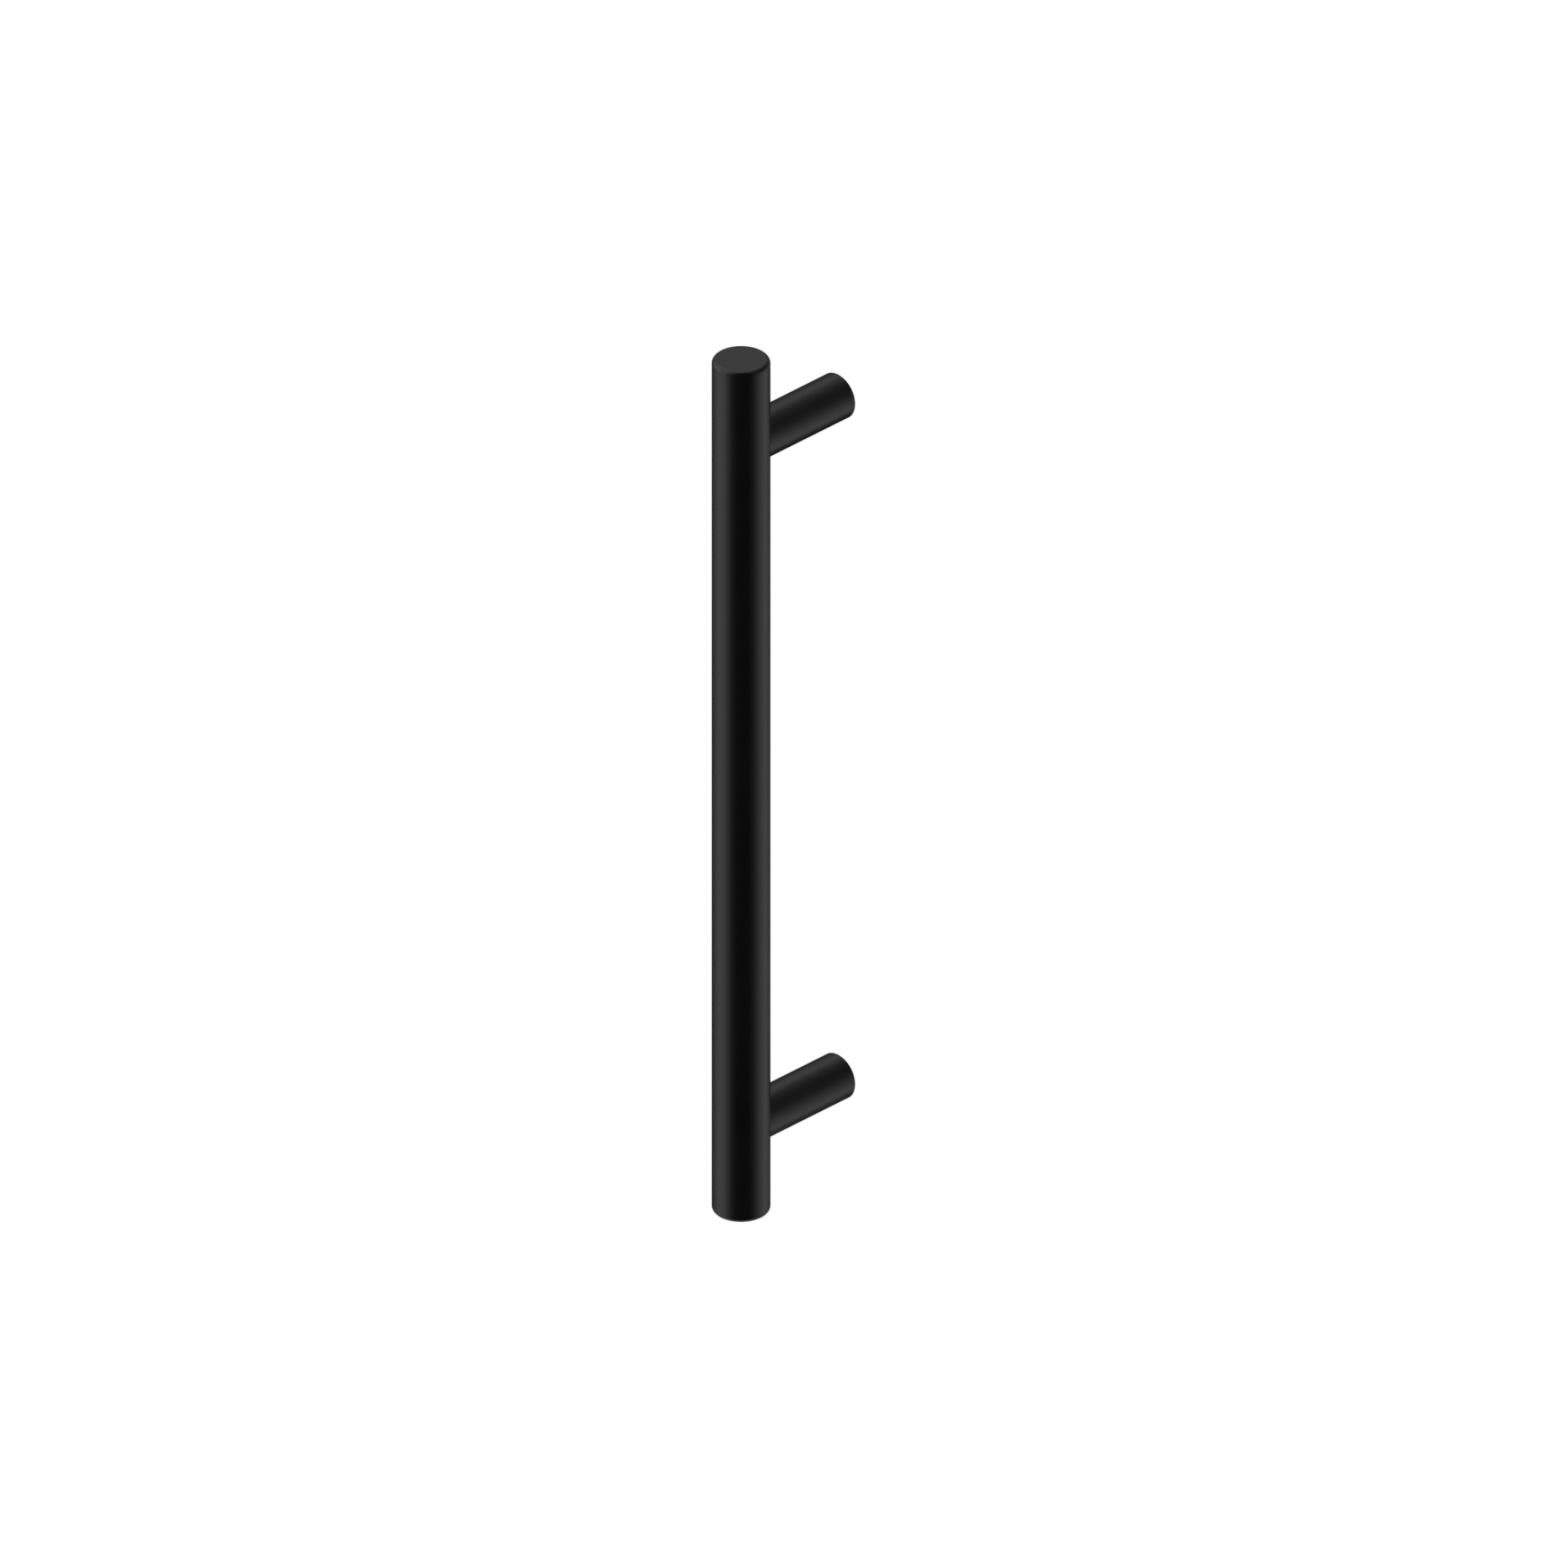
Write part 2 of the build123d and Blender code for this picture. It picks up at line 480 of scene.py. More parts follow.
@dataclass(frozen=True)
class Handle:
    """Sizes and places that the pieces share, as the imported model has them."""

    grip_radius: float
    grip_axis: float
    grip_half_length: float
    tube_half_length: float
    post_radius: float
    post_height: float
    slug_radius: float
    slug_half_length: float
    screw_head_radius: float
    screw_tip: float  # from the axis of the grip, towards the door
    screw_top: float
    spigot_radius: float
    spigot_length: float
    grub_axis: float

    @property
    def reach(self) -> float:
        """The distance from the door to the axis of the grip."""
        return -self.grip_axis

    @classmethod
    def from_frame(cls) -> "Handle":
        """Read the sizes from the boxes of the CAD nodes.

        Returns:
            The handle's sizes.
        """
        cap_low, cap_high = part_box("end_caps")
        post_low, post_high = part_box("upper_post")
        slug_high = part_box("bar_slugs")[1]
        screw_low, screw_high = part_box("upper_joint_screw")
        spigot_low, spigot_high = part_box("door_spigots")
        grub_low, grub_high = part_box("upper_grub_screw")
        grip_axis = (cap_low.y + cap_high.y) / 2
        post_height = (post_low.z + post_high.z) / 2
        return cls(
            grip_radius=cap_high.x,
            grip_axis=grip_axis,
            grip_half_length=cap_high.z,
            tube_half_length=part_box("grip_tube")[1].z,
            post_radius=post_high.x,
            post_height=post_height,
            slug_radius=slug_high.x,
            slug_half_length=slug_high.z - post_height,
            screw_head_radius=screw_high.x,
            screw_tip=screw_low.y - grip_axis,
            screw_top=screw_high.y - grip_axis,
            spigot_radius=spigot_high.x,
            spigot_length=-spigot_low.y,
            grub_axis=(grub_low.y + grub_high.y) / 2,
        )


@dataclass(frozen=True)
class SatinBlackCoat:
    """Black satin powder coat, with a faint orange peel and slight unevenness in tone and gloss."""

    deep: Colour = (0.0065, 0.0065, 0.0068, 1.0)
    pale: Colour = (0.0125, 0.0125, 0.0129, 1.0)
    roughness: float = 0.33
    roughness_spread: float = 0.06
    patch: float = 14 * MM
    patch_detail: float = 3.0
    patch_share: float = 0.6  # in the tone, the rest being the peel's
    peel: float = 0.9 * MM
    peel_detail: float = 1.0
    peel_depth: float = 0.03 * MM

    def material(self) -> bpy.types.Material:
        """Build the coat.

        Returns:
            The material.
        """
        surface = Surface("satin_black_coat")
        patches = surface.noise(self.patch, self.patch_detail)
        peel = surface.noise(self.peel, self.peel_detail)
        tone = patches * self.patch_share + peel * (1 - self.patch_share)
        return surface.finish(
            Base_Color=surface.blend(tone, self.deep, self.pale),
            Roughness=patches.about(self.roughness, self.roughness_spread),
            Normal=surface.relief(peel, self.peel_depth),
        )


@dataclass(frozen=True)
class TurnedSteel:
    """Bare stainless steel, with fine rings about the axis that it was turned on."""

    handle: Handle
    lathe: Lathe
    dull: Colour = (0.46, 0.45, 0.43, 1.0)
    bright: Colour = (0.66, 0.65, 0.63, 1.0)
    roughness: float = 0.24
    roughness_spread: float = 0.12
    ring: float = 0.3 * MM
    ring_detail: float = 2.0
    ring_depth: float = 0.006 * MM
    ring_share: float = 0.5  # in the tone, the rest being the patches'
    patch: float = 3 * MM
    patch_detail: float = 3.0

    def material(self) -> bpy.types.Material:
        """Build the steel.

        Returns:
            The material.
        """
        surface = Surface(f"turned_steel_{self.lathe.value}")
        x, y, z = surface.split(surface.place)
        if self.lathe is Lathe.POST:
            across, along = abs(z) - self.handle.post_height, y
        else:
            across, along = y - self.handle.grip_axis, z
        section = surface.join((x * x + across * across).root(), along, 0.0)
        rings = surface.noise(self.ring, self.ring_detail, section)
        patches = surface.noise(self.patch, self.patch_detail)
        tone = rings * self.ring_share + patches * (1 - self.ring_share)
        return surface.finish(
            Base_Color=surface.blend(tone, self.dull, self.bright),
            Metallic=1.0,
            Roughness=rings.about(self.roughness, self.roughness_spread),
            Normal=surface.relief(rings, self.ring_depth),
        )


@dataclass(frozen=True)
class BlackOxide:
    """Blackened steel, dull and slightly blotchy."""

    deep: Colour = (0.022, 0.022, 0.025, 1.0)
    pale: Colour = (0.055, 0.054, 0.056, 1.0)
    metallic: float = 0.7
    roughness: float = 0.42
    roughness_spread: float = 0.16
    blotch: float = 0.8 * MM
    blotch_detail: float = 3.0
    grain: float = 0.12 * MM
    grain_detail: float = 2.0
    grain_depth: float = 0.003 * MM

    def material(self) -> bpy.types.Material:
        """Build the oxide.

        Returns:
            The material.
        """
        surface = Surface("black_oxide_steel")
        blotches = surface.noise(self.blotch, self.blotch_detail)
        grain = surface.noise(self.grain, self.grain_detail)
        return surface.finish(
            Base_Color=surface.blend(blotches, self.deep, self.pale),
            Metallic=self.metallic,
            Roughness=blotches.about(self.roughness, self.roughness_spread),
            Normal=surface.relief(grain, self.grain_depth),
        )


def arc(centre: Point, radius: float, start: float, end: float, steps: int) -> list[Point]:
    """Points along an arc of a profile.

    Args:
        centre: The middle of the arc.
        radius: Its radius.
        start: The angle of its first point, in degrees from the direction away from the axis.
        end: The angle of its last point.
        steps: The number of chords.

    Returns:
        The points, both ends included.
    """
    angles = [math.radians(start + (end - start) * step / steps) for step in range(steps + 1)]
    return [(centre[0] + radius * math.cos(a), centre[1] + radius * math.sin(a)) for a in angles]


def spread(start: Point, end: Point, steps: int) -> list[Point]:
    """Evenly spread points of a straight stretch of a profile, both ends included."""
    return [tuple(a + (b - a) * step / steps for a, b in zip(start, end)) for step in range(steps + 1)]


def as_inputs(sizes: Any, group: str = "") -> dict[str, Any]:
    """The fields of a dataclass as inputs of a tree, which are named after the group and the field."""
    return {f"{group} {name}".strip().replace("_", " ").title(): size for name, size in vars(sizes).items()}


@dataclass(frozen=True)
class Thread:
    """A screw thread, with its places measured along its axis."""

    core: float  # the radius that its waves start from
    depth: float  # how far they go outwards, or inwards if it is less than 0
    pitch: float
    start: float
    end: float
    rows_per_turn: int = 16

    def rows(self) -> int:
        """The number of steps along the thread that show its waves."""
        return round((self.end - self.start) / self.pitch * self.rows_per_turn)

    def rings(self) -> list[Point]:
        """Close rings on the core, from the thread's start to its end."""
        return spread((self.core, self.start), (self.core, self.end), self.rows())


@dataclass(frozen=True)
class HexSocket:
    """A hexagon socket in the end of a screw."""

    width: float  # across the flats
    depth: float

    def inputs(self, mouth: float) -> dict[str, float]:
        """The socket's sizes as inputs of a tree, with the place of its mouth along the axis."""
        return {"Socket Radius": self.width / math.sqrt(3), "Socket Depth": self.depth, "Socket Mouth": mouth}


@dataclass
class Piece:
    """A sub-assembly: a tree spins its profile into the meshes that stand for its CAD nodes."""

    handle: Handle
    segments: int = 160  # of the spun profile

    nodes: ClassVar[dict[str, Side]]  # the CAD nodes, each with the post whose height its tree takes
    look: ClassVar[str] = "coated"  # last word in the names of the new pieces
    slot: ClassVar[Slot] = Slot.BLACK_COAT

    def profile(self) -> list[Point]:
        """The closed outline that the tree spins."""
        raise NotImplementedError

    def tree(self) -> GeometryTree:
        """The tree that makes the meshes."""
        raise NotImplementedError

    def sizes(self) -> dict[str, Any]:
        """Inputs of the tree that aren't fields of the piece or the handle."""
        return {}

    def build(self, material: bpy.types.Material) -> None:
        """Make the pieces, dress them and put them in place of their CAD nodes.

        Args:
            material: Their finish.
        """
        tree = self.tree()
        for node, side in self.nodes.items():
            values = {
                **as_inputs(self.handle),
                **as_inputs(self),
                **self.sizes(),
                "Material": material,
                "Post Height": side.value * self.handle.post_height,
            }
            piece = tree.make(f"{node}_{self.look}", self.profile(), values)
            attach(piece, BODY)
            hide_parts(node)
            LOG.info("%s: %d faces, in place of %s", piece.name, len(piece.data.polygons), node)


@dataclass
class GripTube(Piece):
    """The round tube that a hand closes on, with a hole for the joint screw behind each post."""

    nodes = {"grip_tube": Side.UPPER}

    wall: float = 1.5 * MM
    edge: float = 0.06 * MM
    screw_hole: float = 3.2 * MM
    hole_margin: float = 6.4 * MM  # from the middle of a hole to the rings beside it
    hole_segments: int = 48
    drill_length: float = 6 * MM

    def profile(self) -> list[Point]:
        """Draw the tube's wall.

        Returns:
            Its section, with rings beside the screw holes.
        """
        outer, end = self.handle.grip_radius, self.handle.tube_half_length
        inner = outer - self.wall
        rings = [s * self.handle.post_height + t * self.hole_margin for s in (-1, 1) for t in (-1, 1)]
        return [
            (inner, -end),
            (outer - self.edge, -end),
            (outer, -end + self.edge),
            *[(outer, z) for z in rings],
            (outer, end - self.edge),
            (outer - self.edge, end),
            (inner, end),
            *[(inner, z) for z in reversed(rings)],
        ]

    def tree(self) -> GeometryTree:
        """Spin the wall and drill it on the door side.

        Returns:
            The finished tree.
        """
        tree = GeometryTree("drilled_tube")
        axis = tree.input("Grip Axis")
        tube = tree.moved(tree.spun(), tree.join(0.0, axis, 0.0))
        sides = tree.count("Hole Segments")
        drill = tree.cylinder(sides, tree.input("Screw Hole"), tree.input("Drill Length"))
        height = tree.input("Post Height")
        holes = tree.pair(drill, axis + tree.input("Grip Radius"), height, TOWARDS_DOOR)
        return tree.finish(tree.drilled(tube, holes))


@dataclass
class EndCaps(Piece):
    """The two plugs that close the tube, each with a rounded head as wide as the tube."""

    nodes = {"end_caps": Side.UPPER}

    end_round: float = 2.5 * MM
    edge: float = 0.06 * MM
    plug_radius: float = 13.45 * MM
    plug_wall: float = 3 * MM
    plug_length: float = 10 * MM
    plug_lead_in: float = 0.8 * MM
    support: float = 0.15 * MM  # ring beside the rounded edge, so that flat faces stay flat
    round_steps: int = 20

    def profile(self) -> list[Point]:
        """Draw the upper cap.

        Returns:
            Its section, from the middle of the outer face to the inside of the cup.
        """
        radius, top = self.handle.grip_radius, self.handle.grip_half_length
        seat, cup = self.handle.tube_half_length, self.plug_radius - self.plug_wall
        foot = seat - self.plug_length
        centre = (radius - self.end_round, top - self.end_round)
        return [
            (0.0, top),
            (centre[0] - self.support, top),
            *arc(centre, self.end_round, 90, 0, self.round_steps),
            (radius, centre[1] - self.support),
            (radius, seat + self.edge),
            (radius - self.edge, seat),
            (self.plug_radius, seat),
            (self.plug_radius, foot + self.plug_lead_in),
            (self.plug_radius - self.plug_lead_in, foot),
            (cup, foot),
            (cup, seat),
            (0.0, seat),
        ]

    def tree(self) -> GeometryTree:
        """Spin a cap and set one at each end, the second turned over.

        Returns:
            The finished tree.
        """
        tree = GeometryTree("cap_at_each_end")
        over = tree.join(tree.add("GeometryNodeInputIndex") * math.pi, 0.0, 0.0)
        return tree.finish(tree.pair(tree.spun(), tree.input("Grip Axis"), 0.0, over))


@dataclass
class Posts(Piece):
    """The two posts, each cut to a saddle that sits on the grip and drilled below for its grub screw."""

    nodes = {"upper_post": Side.UPPER, "lower_post": Side.LOWER}

    saddle_gap: float = 0.05 * MM
    saddle_steps: int = 8
    screw_hole: float = 3.2 * MM
    bore: float = 8 * MM
    screw_seat: float = 27 * MM  # from the axis of the grip
    edge: float = 0.3 * MM
    grub_hole: float = 2.1 * MM
    hole_margin: float = 4.2 * MM  # from the middle of the hole to the rings beside it
    hole_segments: int = 64

    def profile(self) -> list[Point]:
        """Draw a post.

        Returns:
            Its section, with the saddle still flat at the grip's axis.
        """
        reach, radius = self.handle.reach, self.handle.post_radius
        hole = reach + self.handle.grub_axis
        return [
            *spread((self.screw_hole, 0.0), (radius, 0.0), self.saddle_steps),
            (radius, hole - self.hole_margin),
            (radius, hole + self.hole_margin),
            (radius, reach - self.edge),
            (radius - self.edge, reach),
            (self.bore, reach),
            (self.bore, hole + self.hole_margin),
            (self.bore, hole - self.hole_margin),
            (self.bore, self.screw_seat),
            (self.screw_hole, self.screw_seat),
        ]

    def tree(self) -> GeometryTree:
        """Spin the post, lay its near end on the grip and drill its underside.

        Returns:
            The finished tree.
        """
        tree = GeometryTree("saddle_post")
        saddle, height = tree.input("Saddle Radius"), tree.input("Post Height")
        radius = tree.input("Post Radius")
        x, y, along = tree.split(tree.position())
        on_grip = (saddle * saddle - x * x).root()
        bent = tree.placed(tree.spun(), tree.join(x, y, along + (along < MERGE_DISTANCE) * on_grip))
        post = tree.moved(bent, tree.join(0.0, tree.input("Grip Axis"), height), TOWARDS_DOOR)
        drill = tree.cylinder(tree.count("Hole Segments"), tree.input("Grub Hole"), radius)
        below = tree.join(0.0, tree.input("Grub Axis"), height - radius)
        return tree.finish(tree.drilled(post, tree.moved(drill, below)))

    def sizes(self) -> dict[str, Any]:
        """The radius of the saddle."""
        return {"Saddle Radius": self.handle.grip_radius + self.saddle_gap}


@dataclass
class BarSlugs(Piece):
    """The two blocks inside the tube, each tapped across for its joint screw."""

    nodes = {"bar_slugs": Side.UPPER}
    look = "tapped"
    slot = Slot.STAINLESS

    segments: int = 128
    lead_in: float = 0.8 * MM
    thread: Thread = Thread(core=2.5 * MM, depth=0.54 * MM, pitch=1 * MM, start=-15 * MM, end=15 * MM)
    tap_segments: int = 48

    def profile(self) -> list[Point]:
        """Draw a slug.

        Returns:
            Its section, from the middle of one end to that of the other.
        """
        radius, end = self.handle.slug_radius, self.handle.slug_half_length
        return [
            (0.0, -end),
            (radius - self.lead_in, -end),
            (radius, -end + self.lead_in),
            (radius, end - self.lead_in),
            (radius - self.lead_in, end),
            (0.0, end),
        ]

    def tree(self) -> GeometryTree:
        """Spin a slug, tap it across and set one behind each post.

        Returns:
            The finished tree.
        """
        tree = GeometryTree("tapped_slugs")
        length = tree.input("Thread End") - tree.input("Thread Start")
        sides, rows = tree.count("Tap Segments"), tree.count("Thread Rows")
        rod = tree.cylinder(sides, tree.input("Thread Core"), length, rows)
        tap = tree.moved(tree.threaded(rod), ZERO, TOWARDS_DOOR)
        slug = tree.drilled(tree.spun(), tap)
        return tree.finish(tree.pair(slug, tree.input("Grip Axis"), tree.input("Post Height")))

    def sizes(self) -> dict[str, Any]:
        """The thread of the tapped hole."""
        return {"Thread Rows": self.thread.rows(), **as_inputs(self.thread, "Thread")}


@dataclass
class JointScrews(Piece):
    """The two socket head screws, each of which pulls a post against the grip from inside."""

    nodes = {"upper_joint_screw": Side.UPPER, "lower_joint_screw": Side.LOWER}
    look = "threaded"
    slot = Slot.STAINLESS

    core: float = 2.4 * MM
    tip_chamfer: float = 0.8 * MM
    head_height: float = 6 * MM
    head_chamfer: float = 0.6 * MM
    knurls: int = 36
    knurl_depth: float = 0.15 * MM
    thread_pitch: float = 1 * MM
    thread_depth: float = 0.5 * MM
    socket: HexSocket = HexSocket(width=5 * MM, depth=3 * MM)

    def thread(self) -> Thread:
        """The M6 thread, from the tip to the head."""
        start, end = self.handle.screw_tip + self.tip_chamfer, self.handle.screw_top - self.head_height
        return Thread(self.core, self.thread_depth, self.thread_pitch, start, end)

    def profile(self) -> list[Point]:
        """Draw a screw.

        Returns:
            Its section, from the tip to the socket end.
        """
        tip, head, top = self.handle.screw_tip, self.handle.screw_head_radius, self.handle.screw_top
        return [
            (0.0, tip),
            (self.core - self.tip_chamfer, tip),
            *self.thread().rings(),
            (head - self.knurl_depth, top - self.head_height),
            (head, top - self.head_height + self.knurl_depth),
            (head, top - self.head_chamfer),
            (head - self.head_chamfer, top),
            (0.0, top),
        ]

    def tree(self) -> GeometryTree:
        """Spin the screw, thread it, knurl its head and cut its socket.

        Returns:
            The finished tree.
        """
        tree = GeometryTree("joint_screw")
        head = tree.input("Screw Head Radius")
        radius, turn, _ = tree.polar()
        groove = 1 - abs(2 * (turn * tree.count("Knurls") % 1.0) - 1)
        on_rim = abs(radius - head) < MERGE_DISTANCE
        knurl = 1 - on_rim * groove * tree.input("Knurl Depth") / head
        screw = tree.keyed(tree.widened(tree.threaded(tree.spun()), knurl))
        place = tree.join(0.0, tree.input("Grip Axis"), tree.input("Post Height"))
        return tree.finish(tree.moved(screw, place, TOWARDS_DOOR))

    def sizes(self) -> dict[str, Any]:
        """A crest and a groove for each knurl, the thread and the socket."""
        thread, socket = as_inputs(self.thread(), "Thread"), self.socket.inputs(self.handle.screw_top)
        return {"Segments": 2 * self.knurls, **thread, **socket}


@dataclass
class DoorSpigots(Piece):
    """The two spigots that are bolted to the door, grooved outside and threaded M8 inside."""

    nodes = {"door_spigots": Side.UPPER}
    look = "turned"
    slot = Slot.STAINLESS

    segments: int = 96
    minor_radius: float = 3.4 * MM
    thread_pitch: float = 1.25 * MM
    thread_depth: float = 0.62 * MM
    countersink: float = 0.4 * MM
    lead_in: float = 0.5 * MM
    groove_inset: float = 10 * MM
    groove_depth: float = 1.5 * MM
    rim: float = 0.08 * MM

    def thread(self) -> Thread:
        """The M8 thread, from the inner end of the bore to its countersink."""
        start, end = self.handle.reach - self.handle.spigot_length, self.handle.reach - self.countersink
        return Thread(self.minor_radius, self.thread_depth, self.thread_pitch, start, end)

    def profile(self) -> list[Point]:
        """Draw a spigot.

        Returns:
            Its section, with many rows down its bore for the thread.
        """
        radius, reach = self.handle.spigot_radius, self.handle.reach
        inner = reach - self.handle.spigot_length
        groove = reach - self.groove_inset
        return [
            *reversed(self.thread().rings()),
            (radius - self.lead_in, inner),
            (radius, inner + self.lead_in),
            (radius, groove - self.groove_depth),
            (radius - self.groove_depth, groove),
            (radius, groove + self.groove_depth),
            (radius, reach - self.rim),
            (radius - self.rim, reach),
            (self.minor_radius + self.countersink, reach),
        ]

    def tree(self) -> GeometryTree:
        """Spin a spigot, thread its bore and set one in each post.

        Returns:
            The finished tree.
        """
        tree = GeometryTree("threaded_spigots")
        spigot = tree.threaded(tree.spun())
        axis, height = tree.input("Grip Axis"), tree.input("Post Height")
        return tree.finish(tree.pair(spigot, axis, height, TOWARDS_DOOR))

    def sizes(self) -> dict[str, Any]:
        """The thread of the bore."""
        return as_inputs(self.thread(), "Thread")


@dataclass
class GrubScrews(Piece):
    """The two socket grub screws in the undersides of the posts, whose points lock the spigots."""

    nodes = {"upper_grub_screw": Side.UPPER, "lower_grub_screw": Side.LOWER}
    look = "threaded"
    slot = Slot.BLACK_OXIDE

    segments: int = 64
    radius: float = 2 * MM
    tip_radius: float = 0.4 * MM
    inner_end: float = 6.9 * MM  # from the axis of the post
    outer_end: float = 11.9 * MM
    edge: float = 0.3 * MM
    thread_pitch: float = 0.8 * MM
    thread_depth: float = 0.25 * MM
    socket: HexSocket = HexSocket(width=2.5 * MM, depth=2.5 * MM)

    def thread(self) -> Thread:
        """The M5 thread, from the cone of the point to the chamfer of the other end."""
        start, end = self.inner_end + self.radius - self.tip_radius, self.outer_end - self.edge
        return Thread(self.radius, -self.thread_depth, self.thread_pitch, start, end)

    def profile(self) -> list[Point]:
        """Draw a screw.

        Returns:
            Its section, from the point outwards.
        """
        return [
            (0.0, self.inner_end),
            (self.tip_radius, self.inner_end),
            *self.thread().rings(),
            (self.radius - self.edge, self.outer_end),
            (0.0, self.outer_end),
        ]

    def tree(self) -> GeometryTree:
        """Spin the screw, cut its thread and its socket, and turn it to point up from below the post.

        Returns:
            The finished tree.
        """
        tree = GeometryTree("grub_screw")
        screw = tree.keyed(tree.threaded(tree.spun()))
        place = tree.join(0.0, tree.input("Grub Axis"), tree.input("Post Height"))
        return tree.finish(tree.moved(screw, place, UPSIDE_DOWN))

    def sizes(self) -> dict[str, Any]:
        """The thread and the socket."""
        return {**as_inputs(self.thread(), "Thread"), **self.socket.inputs(self.outer_end)}


def direction(azimuth: float, elevation: float) -> Vector:
    """The way to a place at this azimuth, from the front to the right, and this elevation."""
    level = math.cos(elevation)
    return Vector((math.sin(azimuth) * level, -math.cos(azimuth) * level, math.sin(elevation)))


def stand(data: bpy.types.ID, place: Vector, back: Vector) -> bpy.types.Object:
    """Put a camera or a lamp in the scene.

    Args:
        data: The camera or lamp.
        place: Where it stands.
        back: Where its back is turned to.

    Returns:
        The object.
    """
    stood = bpy.data.objects.new(data.name, data)
    stood.location = place
    stood.rotation_euler = back.to_track_quat("Z", "Y").to_euler()
    bpy.context.scene.collection.objects.link(stood)
    return stood


@dataclass(frozen=True)
class Photograph:
    """Where the photograph was taken from: an orthographic view of a square picture."""

    azimuth: float = math.radians(45)
    elevation: float = math.radians(30)
    frame_pixels: float = 1740.0
    pixels_per_mm: float = 2.179
    grip_left_of_middle: float = 21.86 * MM
    distance: float = 3.0
    clip_end: float = 12.0

    def axes(self) -> tuple[Vector, Vector, Vector]:
        """The directions to the right and upwards in the picture, and from the handle to the camera."""
        right, back = direction(self.azimuth + math.pi / 2, 0.0), direction(self.azimuth, self.elevation)
        return right, back.cross(right), back

    def take(self, handle: Handle) -> None:
        """Set up the scene's camera.

        Args:
            handle: The handle's sizes, for the middle of the grip.
        """
        data = bpy.data.cameras.new("photograph")
        data.type = "ORTHO"
        data.ortho_scale = self.frame_pixels / self.pixels_per_mm * MM
        data.clip_end = self.clip_end
        right, _, back = self.axes()
        aim = Vector((0.0, handle.grip_axis, 0.0)) + right * self.grip_left_of_middle
        bpy.context.scene.camera = stand(data, aim + back * self.distance, back)
        LOG.info("camera: %.4f m across", data.ortho_scale)


@dataclass(frozen=True)
class SoftLight:
    """A square soft light that faces the handle."""

    azimuth: float  # in degrees from the camera's, to its right
    elevation: float  # in degrees
    distance: float
    width: float
    radiance: float

    def hang(self, name: str, photograph: Photograph, middle: Vector) -> None:
        """Hang the light.

        Args:
            name: The lamp's name.
            photograph: The camera's place, which the light's is measured from.
            middle: The point that it faces.
        """
        back = direction(photograph.azimuth + math.radians(self.azimuth), math.radians(self.elevation))
        data = bpy.data.lights.new(name, "AREA")
        data.size = self.width
        data.energy = self.radiance * math.pi * self.width**2
        lamp = stand(data, middle + back * self.distance, back)
        lamp.visible_camera = False
        LOG.info("%s: %.1f W", name, data.energy)


@dataclass(frozen=True)
class DarkFlag:
    """A dark cloth that keeps the light of the white room out of one direction."""

    towards: tuple[float, float, float]  # to the right, upwards and to the camera, in the picture
    core: float  # degrees from its middle up to which it is whole
    edge: float  # degrees at which it ends
    level: float  # share of the light that still comes through

    def shade(self, graph: Graph, ray: Value, photograph: Photograph) -> Value:
        """Shade the room.

        Args:
            graph: The world's nodes.
            ray: The direction that light comes from.
            photograph: The camera's place, which the cloth's is measured from.

        Returns:
            The share of light that is left, from the flag's level in its middle to 1 outside it.
        """
        middle = sum((axis * share for axis, share in zip(photograph.axes(), self.towards)), Vector())
        span = (math.cos(math.radians(self.edge)), math.cos(math.radians(self.core)))
        return graph.fade(graph.nearness(ray, middle.normalized()), span, (1.0, self.level))


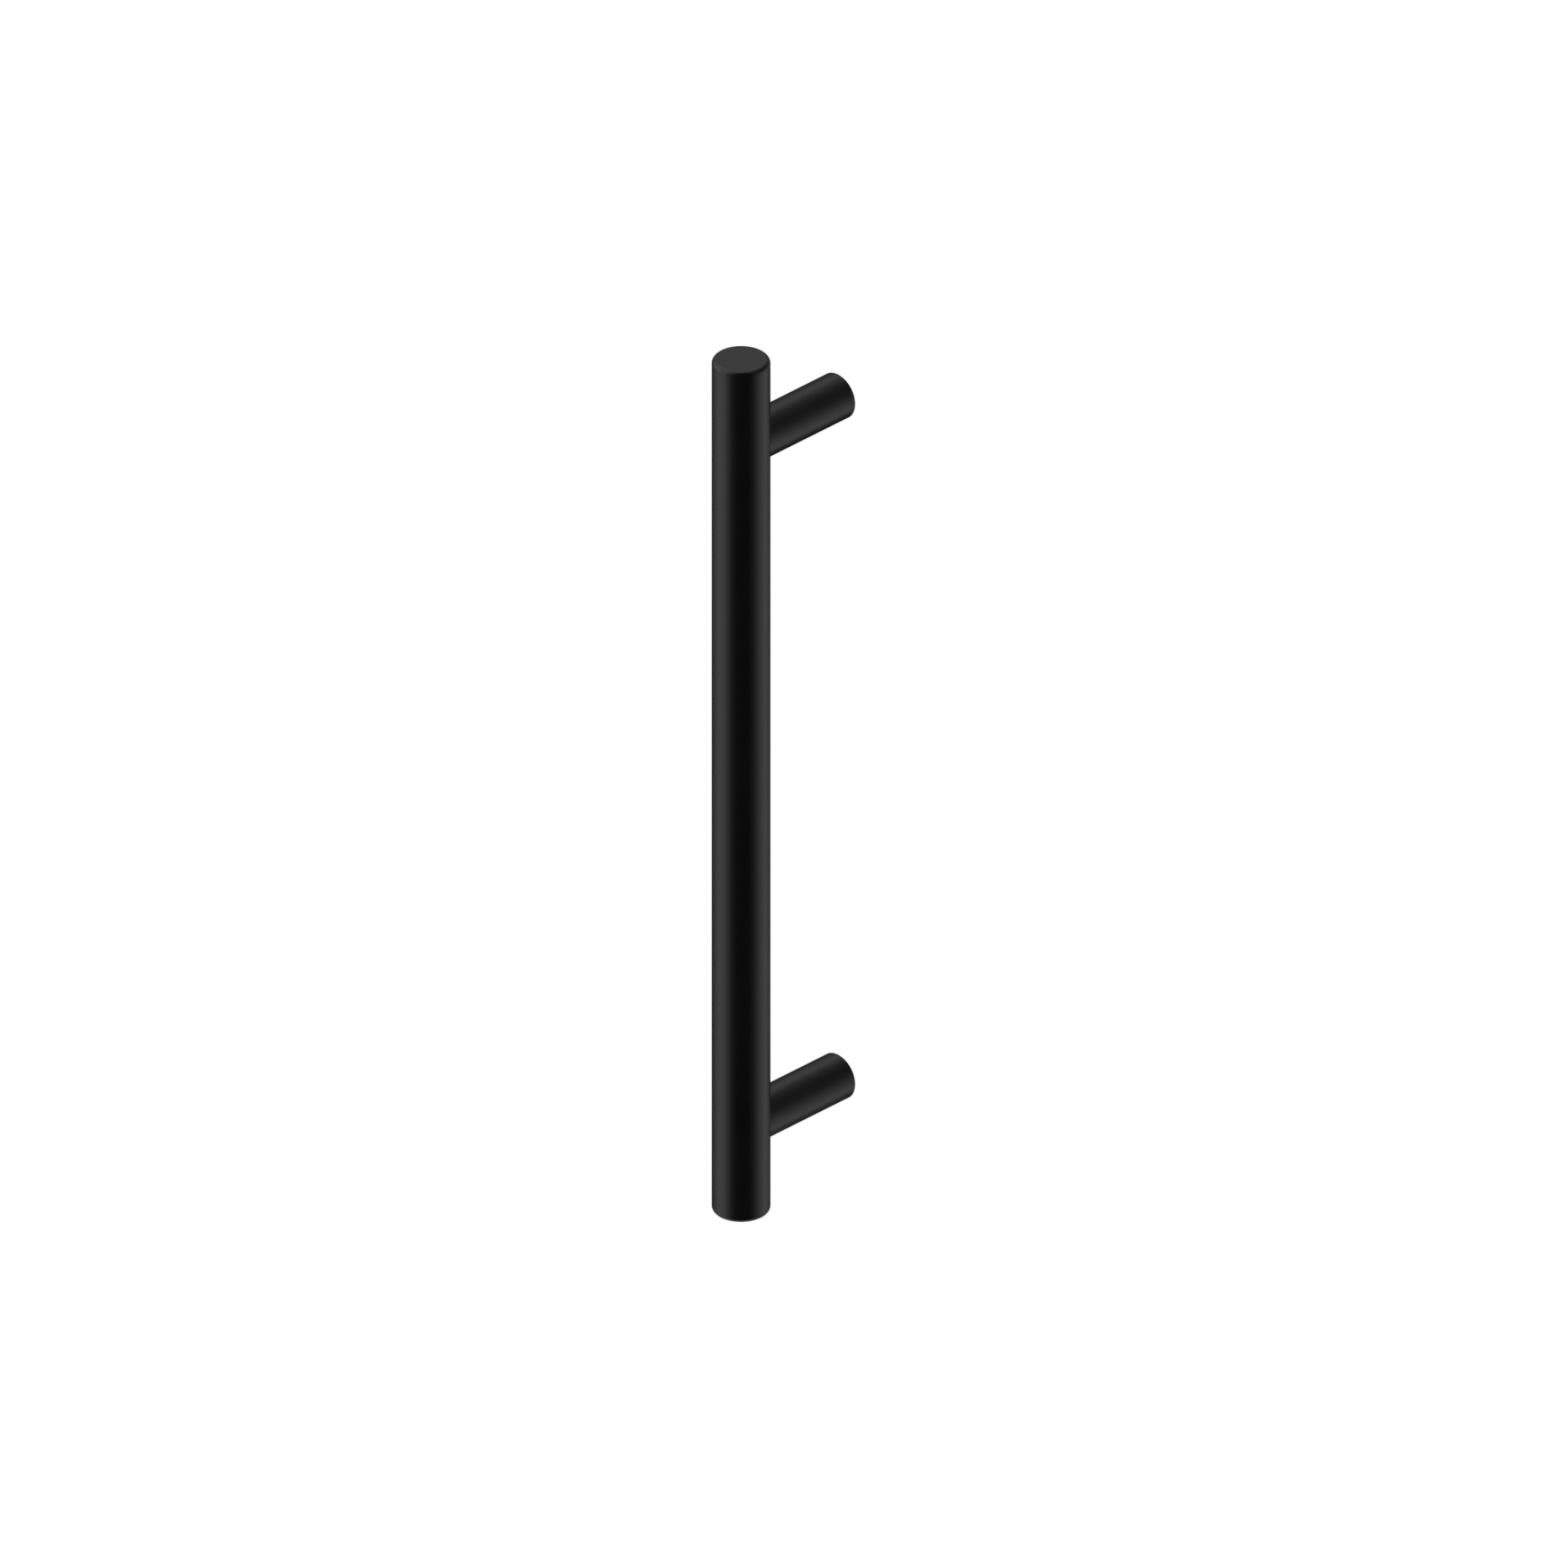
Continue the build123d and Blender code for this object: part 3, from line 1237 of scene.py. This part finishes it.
@dataclass(frozen=True)
class Studio:
    """A white studio with light from the sides and above, dark where the camera stands."""

    photograph: Photograph
    floor_height: float = -1.30
    floor_radius: float = 0.65
    floor_sides: int = 96
    floor_colour: Colour = (0.82, 0.82, 0.81, 1.0)
    floor_glow: Colour = (0.82, 0.82, 0.82, 1.0)
    floor_roughness: float = 0.9
    dark_turn: float = math.radians(5)  # to the middle of the dark side, from the camera
    dark_rise: float = math.radians(-3)
    side_span: Span = (0.865, 0.178)  # cosines of the turn from there to the white sides
    back_span: Span = (-0.25, -0.90)  # cosines of the whole angle from there to the back
    dark_level: float = 0.025
    bright_level: float = 0.88
    back_level: float = 0.07
    flags: tuple[DarkFlag, ...] = (
        DarkFlag((0.81, 0.56, 0.05), core=4, edge=60, level=0.14),
        DarkFlag((0.29, -0.54, -0.79), core=11, edge=31, level=0.15),
        DarkFlag((-0.78, 0.57, 0.28), core=9, edge=36, level=0.08),
        DarkFlag((0.81, -0.58, -0.05), core=4, edge=32, level=0.77),
    )
    key: SoftLight = SoftLight(azimuth=-93, elevation=42, distance=1.2, width=1.3, radiance=0.93)

    def room(self, graph: Graph) -> Value:
        """Light the room from its white sides, with less light from the camera's side and the back.

        Args:
            graph: The world's nodes.

        Returns:
            The strength of the light from each direction.
        """
        ray = graph.add("ShaderNodeTexCoord", output="Generated")
        level = graph.add("ShaderNodeVectorMath", {"operation": "MULTIPLY"}, {0: ray, 1: (1.0, 1.0, 0.0)})
        heading = graph.add("ShaderNodeVectorMath", {"operation": "NORMALIZE"}, {0: level})
        turn, rise = self.photograph.azimuth + self.dark_turn, self.photograph.elevation + self.dark_rise
        aside = graph.nearness(heading, direction(turn, 0.0))
        facing = graph.nearness(ray, direction(turn, rise))
        light = graph.fade(aside, self.side_span, (self.dark_level, self.bright_level))
        light *= graph.fade(facing, self.back_span, (1.0, self.back_level))
        for flag in self.flags:
            light *= flag.shade(graph, ray, self.photograph)
        return light

    def light_room(self) -> None:
        """Build the world, which is white behind the handle and lights it as the room does."""
        world = bpy.data.worlds.new("studio")
        world.use_nodes = True
        graph = Graph(world.node_tree)
        graph.tree.nodes.clear()
        path = graph.add("ShaderNodeLightPath", output="Is Camera Ray")
        seen = path.at_least(path.output("Is Transmission Ray"))
        strength = seen + (1 - seen) * self.room(graph)
        glow = graph.add("ShaderNodeBackground", sockets={"Color": WHITE, "Strength": strength})
        graph.node("ShaderNodeOutputWorld", sockets={"Surface": glow})
        bpy.context.scene.world = world

    def lay_floor(self) -> None:
        """Lay a round floor well below the handle, as pale as the room, to keep a shadow."""
        surface = Surface("pale_floor")
        path = surface.add("ShaderNodeLightPath", output="Is Camera Ray")
        seen = path.at_least(path.output("Is Glossy Ray")).at_least(path.output("Is Transmission Ray"))
        finish = surface.finish(
            Base_Color=self.floor_colour,
            Roughness=self.floor_roughness,
            Emission_Color=surface.blend(seen, BLACK, self.floor_glow),
            Emission_Strength=1.0,
        )
        shell = bmesh.new()
        bmesh.ops.create_circle(shell, cap_ends=True, segments=self.floor_sides, radius=self.floor_radius)
        bmesh.ops.translate(shell, verts=shell.verts, vec=(0.0, 0.0, self.floor_height))
        mesh = bpy.data.meshes.new("floor")
        shell.to_mesh(mesh)
        shell.free()
        mesh.materials.append(finish)
        floor = bpy.data.objects.new("floor", mesh)
        bpy.context.scene.collection.objects.link(floor)


def main() -> None:
    """Build the handle's pieces in order, then the studio round it."""
    logging.basicConfig(level=logging.INFO, format="%(message)s")
    handle = Handle.from_frame()
    coat = SatinBlackCoat().material()
    slug_steel = TurnedSteel(handle, Lathe.GRIP).material()
    steel = TurnedSteel(handle, Lathe.POST).material()
    oxide = BlackOxide().material()
    GripTube(handle).build(coat)
    EndCaps(handle).build(coat)
    Posts(handle).build(coat)
    BarSlugs(handle).build(slug_steel)
    JointScrews(handle).build(steel)
    DoorSpigots(handle).build(steel)
    GrubScrews(handle).build(oxide)
    photograph = Photograph()
    photograph.take(handle)
    studio = Studio(photograph)
    studio.light_room()
    studio.key.hang("key_light", photograph, Vector((0.0, handle.grip_axis, 0.0)))
    studio.lay_floor()
    bpy.context.scene.view_settings.view_transform = "Standard"


if __name__ == "__main__":
    main()
